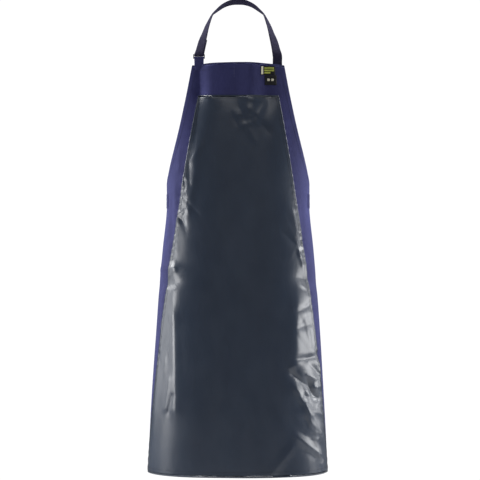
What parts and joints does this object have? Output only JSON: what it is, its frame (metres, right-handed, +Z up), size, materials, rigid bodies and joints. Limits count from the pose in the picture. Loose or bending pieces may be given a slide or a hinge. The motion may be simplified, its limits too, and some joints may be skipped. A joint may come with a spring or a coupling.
{
  "type": "welding apron",
  "caption": "Long bib apron with a glossy coated front over a cloth body, adjustable neck strap, buckled waist strap and a small hanging label.",
  "frame": {"origin": "where the inner face of the neck strap bears on the nape of the neck", "axes": "+Z up, -Y the way the wearer faces, +X the viewer's right when facing the apron's front"},
  "size_m": [0.4862, 0.2529, 1.2828],
  "materials": {
    "navy_cloth": "matt twill",
    "coated_panel": "smooth glossy coating",
    "webbing": "woven webbing",
    "buckle_plastic": "moulded, satin",
    "label_cloth": "woven label",
    "label_bar": "woven label",
    "thread": "sewing thread"
  },
  "bodies": {
    "neck_strap": {"neck_strap": "webbing", "neck_buckle": "buckle_plastic"},
    "label_flap": {"hanging_label": "label_cloth"},
    "upper_arm": {"waist_buckle_arm_upper": "buckle_plastic"},
    "lower_arm": {"waist_buckle_arm_lower": "buckle_plastic"},
    "apron": {"apron_body": "navy_cloth", "arm_hem_left": "navy_cloth", "arm_hem_right": "navy_cloth", "bib_bartack": "thread", "bib_hem": "navy_cloth", "bib_label": "label_cloth", "bib_label_bar": "label_bar", "bottom_hem": "navy_cloth", "front_panel": "coated_panel", "neck_tab_left": "navy_cloth", "neck_tab_right": "navy_cloth", "side_hem_left": "navy_cloth", "side_hem_right": "navy_cloth", "tab_bartacks": "thread", "waist_bartacks": "thread", "waist_buckle_plug": "buckle_plastic", "waist_buckle_socket": "buckle_plastic", "waist_patch_left": "navy_cloth", "waist_patch_right": "navy_cloth", "waist_strap_left": "webbing", "waist_strap_right": "webbing"}
  },
  "joints": [
    {"name": "bib_swing", "type": "hinge", "parent": "neck_strap", "child": "apron", "pos_m": [0, -0.138, -0.167], "axis": [-1, 0, 0], "range_deg": [-8, 70]},
    {"name": "label_lift", "type": "hinge", "parent": "apron", "child": "label_flap", "pos_m": [0.08595, -0.15141, -0.21422], "axis": [-0.9922, -0.1249, 0], "range_deg": [0, 110]},
    {"name": "upper_arm_press", "type": "hinge", "parent": "apron", "child": "upper_arm", "pos_m": [0.0062, 0.076, -0.5365], "axis": [0, -1, 0], "range_deg": [0, 8], "stiffness_Nm_per_rad": 0.05},
    {"name": "lower_arm_press", "type": "hinge", "parent": "apron", "child": "lower_arm", "pos_m": [0.0062, 0.076, -0.5535], "axis": [0, 1, 0], "range_deg": [0, 8], "stiffness_Nm_per_rad": 0.05}
  ]
}
